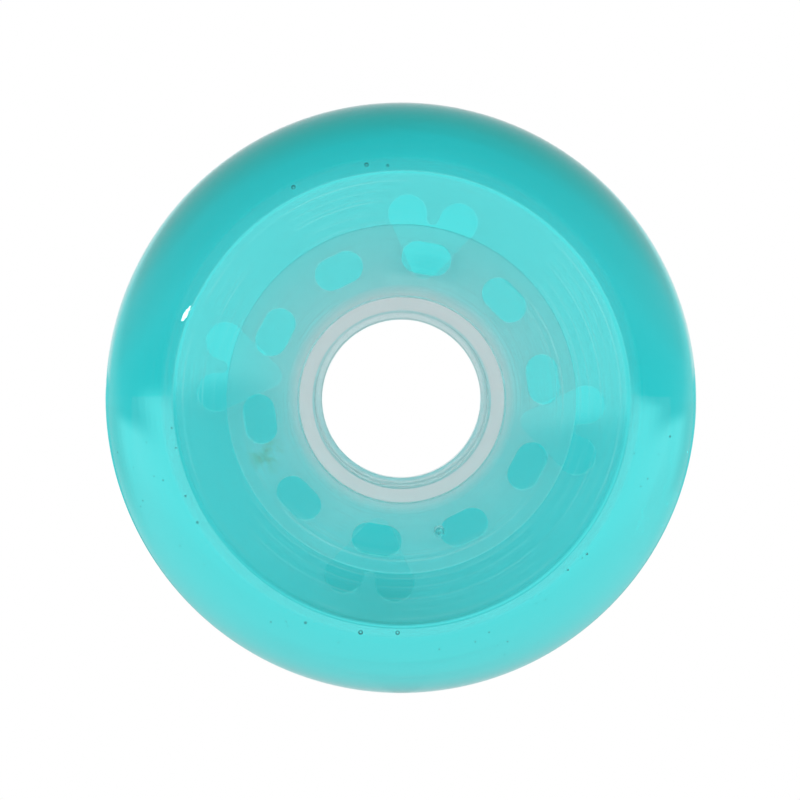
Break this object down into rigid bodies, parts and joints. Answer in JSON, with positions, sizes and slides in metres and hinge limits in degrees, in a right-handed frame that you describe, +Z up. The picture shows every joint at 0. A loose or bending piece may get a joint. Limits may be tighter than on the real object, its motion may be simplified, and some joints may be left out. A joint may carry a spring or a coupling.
{
  "type": "chair caster wheel",
  "caption": "Bare inline-style caster wheel: a clear teal cast tyre with flat sides and a round tread, on a clear moulded core with an open bore and bearing seats.",
  "frame": {"origin": "centre of the wheel, on its axle line at mid-width", "axes": "+Y along the axle from the front face to the rear face, +Z up with the wheel standing on its tread, +X to the right seen from the front"},
  "size_m": [0.076, 0.024, 0.076],
  "materials": {
    "tyre": "clear teal cast polyurethane, glossy tread and fine turning rings on the side faces",
    "core": "slightly hazy clear moulded plastic, turned boss ends"
  },
  "bodies": {
    "root": {"tyre": "tyre", "core": "core"}
  },
  "joints": []
}
